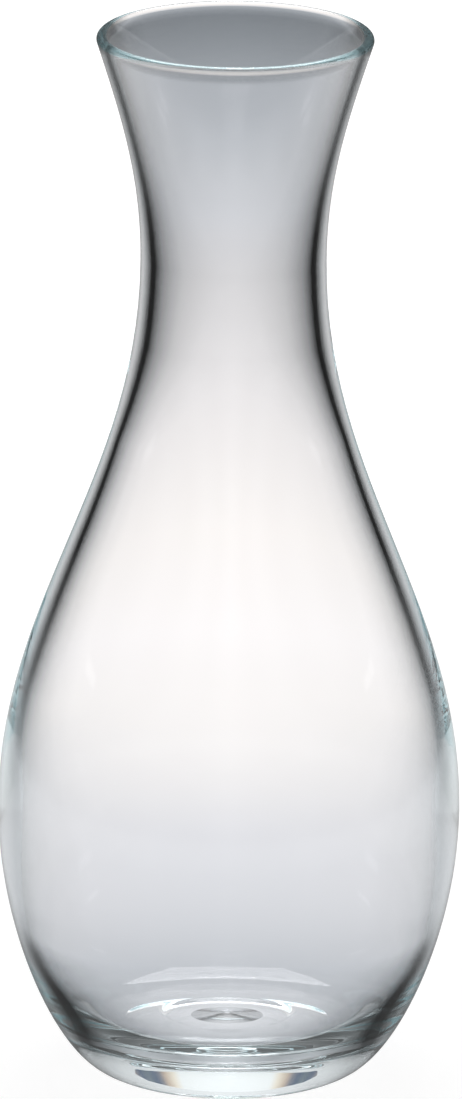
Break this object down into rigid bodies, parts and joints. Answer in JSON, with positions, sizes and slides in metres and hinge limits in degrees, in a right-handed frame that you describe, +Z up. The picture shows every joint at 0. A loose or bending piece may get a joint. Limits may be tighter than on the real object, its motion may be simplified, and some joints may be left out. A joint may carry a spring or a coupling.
{
  "type": "water carafe",
  "caption": "Clear glass water carafe with a round belly, slender neck, flared rounded mouth and a thick base on a flat stand ring",
  "frame": {"origin": "on the table, at the centre of the stand ring", "axes": "+Z up along the axis of the carafe; X and Y are level and the carafe is round, so neither has a front"},
  "size_m": [0.11, 0.11, 0.2528],
  "materials": {
    "clear_glass": "polished clear"
  },
  "bodies": {
    "root": {"vessel": "clear_glass"}
  },
  "joints": []
}
